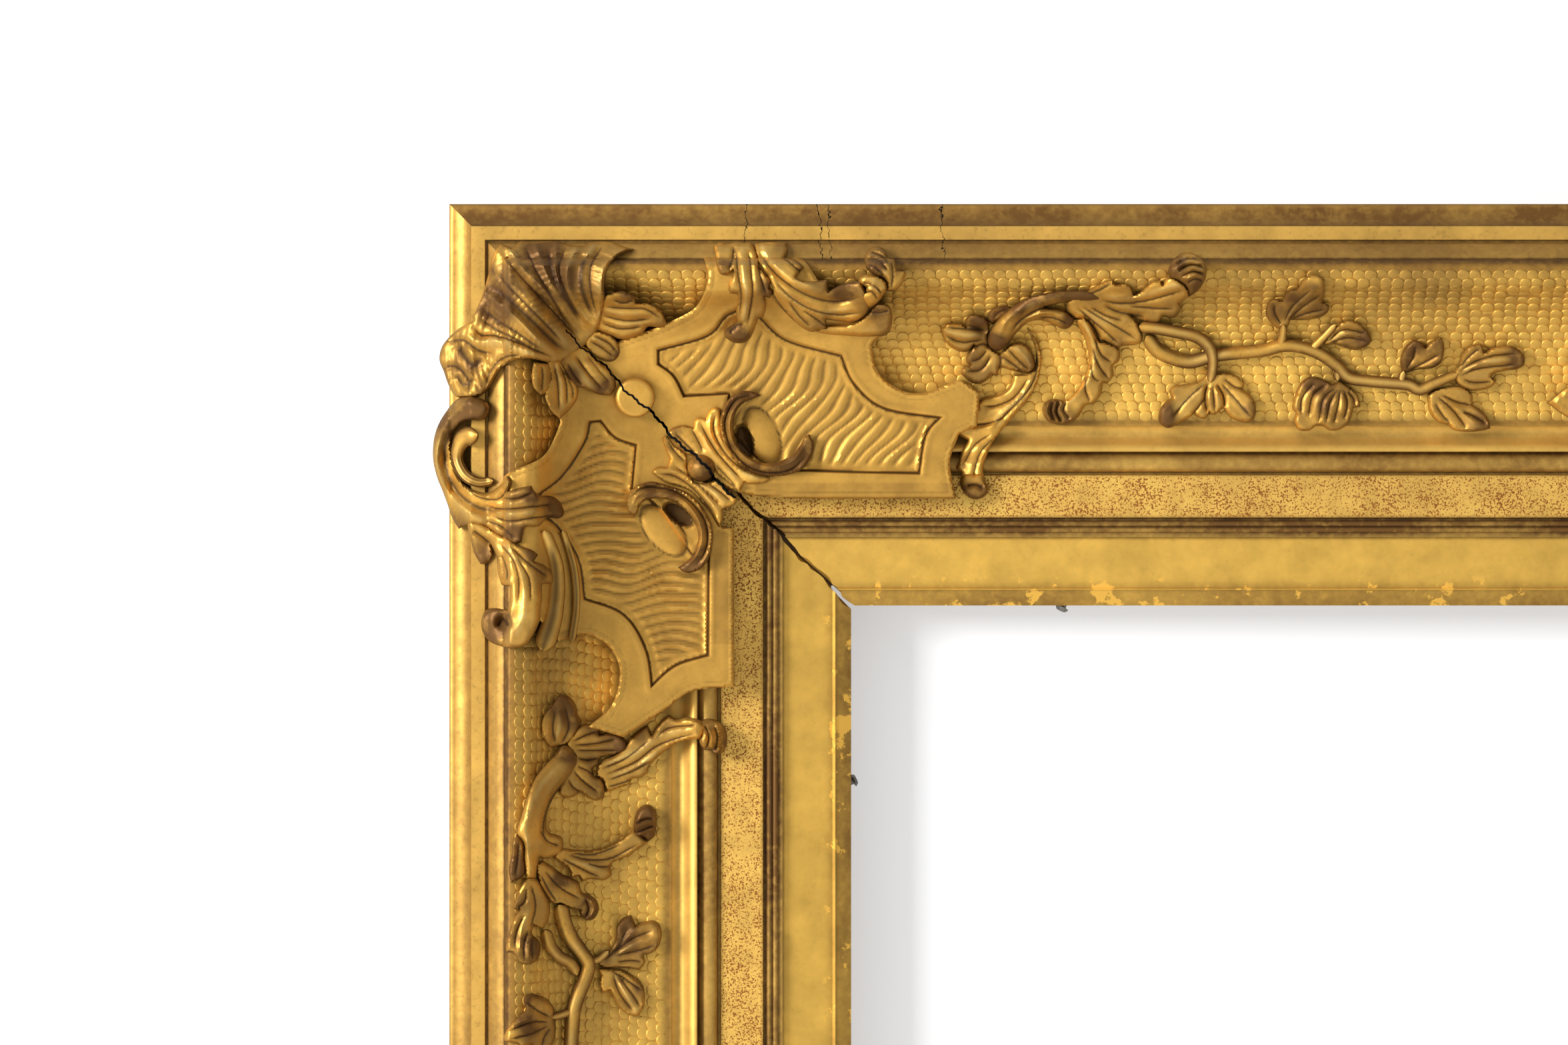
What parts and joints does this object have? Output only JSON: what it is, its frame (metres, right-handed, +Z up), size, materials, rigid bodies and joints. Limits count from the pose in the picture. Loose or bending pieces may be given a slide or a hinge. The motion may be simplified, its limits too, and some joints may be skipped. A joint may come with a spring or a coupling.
{
  "type": "picture frame",
  "caption": "Large landscape gilded frame in rococo revival style: stepped moulding with a deep scaled cove, corner cartouches with shells, C-scrolls and leaf sprays, open sight and hangers.",
  "frame": {"origin": "middle of the picture opening, in the plane of the frame's back", "axes": "+X to the right and +Z up as seen from the front, -Y out of the front towards the viewer"},
  "size_m": [1.3258, 0.1067, 1.114],
  "materials": {
    "gilt_outer": "gilded and toned, worn",
    "gilt_cove": "gilded scale ground, dirt in the recesses",
    "gilt_frieze": "gilded, with a sanded flat",
    "gilt_slip": "matt oil gilding, rubbed to the bole",
    "gilt_ornament": "gilded composition, bronze toned with bright rubbed edges",
    "back_wood": "bare aged pine",
    "key_wood": "bare hardwood",
    "steel": "dulled steel",
    "brass": "aged brass"
  },
  "bodies": {
    "frame": {"back_frame_top": "back_wood", "back_frame_bottom": "back_wood", "back_frame_left": "back_wood", "back_frame_right": "back_wood", "outer_moulding_top": "gilt_outer", "outer_moulding_bottom": "gilt_outer", "outer_moulding_left": "gilt_outer", "outer_moulding_right": "gilt_outer", "cove_rail_top": "gilt_cove", "cove_rail_bottom": "gilt_cove", "cove_rail_left": "gilt_cove", "cove_rail_right": "gilt_cove", "frieze_rail_top": "gilt_frieze", "frieze_rail_bottom": "gilt_frieze", "frieze_rail_left": "gilt_frieze", "frieze_rail_right": "gilt_frieze", "slip_top": "gilt_slip", "slip_bottom": "gilt_slip", "slip_left": "gilt_slip", "slip_right": "gilt_slip", "mitre_keys": "key_wood", "retaining_screws": "steel", "shell_top_left": "gilt_ornament", "shell_top_right": "gilt_ornament", "shell_bottom_left": "gilt_ornament", "shell_bottom_right": "gilt_ornament", "crescents_top_left": "gilt_ornament", "crescents_top_right": "gilt_ornament", "crescents_bottom_left": "gilt_ornament", "crescents_bottom_right": "gilt_ornament", "side_scroll_top_left": "gilt_ornament", "side_scroll_top_right": "gilt_ornament", "side_scroll_bottom_left": "gilt_ornament", "side_scroll_bottom_right": "gilt_ornament", "crest_leaf_top_left": "gilt_ornament", "crest_leaf_top_right": "gilt_ornament", "crest_leaf_bottom_left": "gilt_ornament", "crest_leaf_bottom_right": "gilt_ornament", "cartouche_top_left": "gilt_ornament", "cartouche_top_right": "gilt_ornament", "cartouche_bottom_left": "gilt_ornament", "cartouche_bottom_right": "gilt_ornament", "rail_spray_top_left": "gilt_ornament", "rail_spray_top_right": "gilt_ornament", "rail_spray_bottom_left": "gilt_ornament", "rail_spray_bottom_right": "gilt_ornament", "stile_spray_top_left": "gilt_ornament", "stile_spray_top_right": "gilt_ornament", "stile_spray_bottom_left": "gilt_ornament", "stile_spray_bottom_right": "gilt_ornament", "centre_cartouche_top": "gilt_ornament", "centre_cartouche_bottom": "gilt_ornament", "strap_left": "brass", "strap_right": "brass", "strap_screws": "brass"},
    "ring_left": {"d_ring_left": "brass"},
    "ring_right": {"d_ring_right": "brass"}
  },
  "joints": [
    {"name": "ring_left_swing", "type": "hinge", "parent": "frame", "child": "ring_left", "pos_m": [-0.5555, 0.00355, 0.227], "axis": [1, 0, 0], "range_deg": [0, 180]},
    {"name": "ring_right_swing", "type": "hinge", "parent": "frame", "child": "ring_right", "pos_m": [0.5555, 0.00355, 0.227], "axis": [1, 0, 0], "range_deg": [0, 180]}
  ]
}
